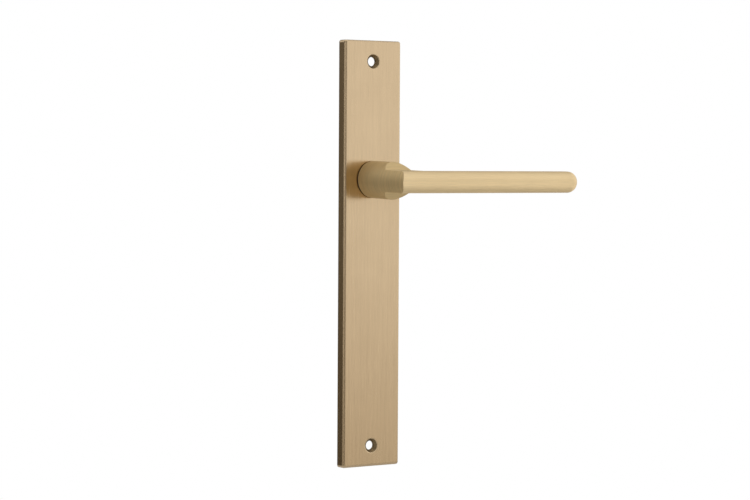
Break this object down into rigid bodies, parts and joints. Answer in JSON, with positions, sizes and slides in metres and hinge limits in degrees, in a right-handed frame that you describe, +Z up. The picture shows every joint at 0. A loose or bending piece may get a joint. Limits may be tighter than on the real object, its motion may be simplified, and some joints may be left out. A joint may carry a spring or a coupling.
{
  "type": "lever handle on backplate",
  "caption": "Straight round-ended door lever on a long, flat, satin brass backplate, with a sprung bearing and a square half spindle behind.",
  "frame": {"origin": "on the spindle axis, in the plane of the door's face", "axes": "+Z up along the plate, +X along the lever towards its tip, +Y into the door along the spindle"},
  "size_m": [0.1326, 0.072, 0.24],
  "materials": {
    "plate_brass": "satin, brushed up and down",
    "lever_brass": "satin, brushed along the lever",
    "steel": "zinc-plated pressing",
    "bright_steel": "bright drawn or plated",
    "spring_steel": "oiled, phosphated",
    "zinc_casting": "as cast, dull",
    "black_acetal": "moulded, matt",
    "white_acetal": "moulded, matt"
  },
  "bodies": {
    "plate_body": {"backplate": "plate_brass", "front_bush": "black_acetal", "spring_housing": "zinc_casting", "spring_post": "bright_steel", "return_spring": "spring_steel", "stop_pin": "bright_steel", "housing_cover": "steel", "rear_bush": "white_acetal", "cassette_screws": "bright_steel"},
    "lever_body": {"lever": "lever_brass", "thrust_washer": "bright_steel", "drive_sleeve": "steel", "drive_plate": "steel", "drive_pin": "bright_steel", "friction_washer": "white_acetal", "flat_washer": "bright_steel", "wave_washer": "spring_steel", "circlip": "spring_steel", "spindle": "bright_steel", "grub_screw": "spring_steel"}
  },
  "joints": [
    {"name": "lever_turn", "type": "hinge", "parent": "plate_body", "child": "lever_body", "pos_m": [0, 0, 0], "axis": [0, 1, 0], "range_deg": [0, 45], "stiffness_Nm_per_rad": 0.5, "springref_deg": -68.75, "deforming": ["return_spring"]}
  ]
}
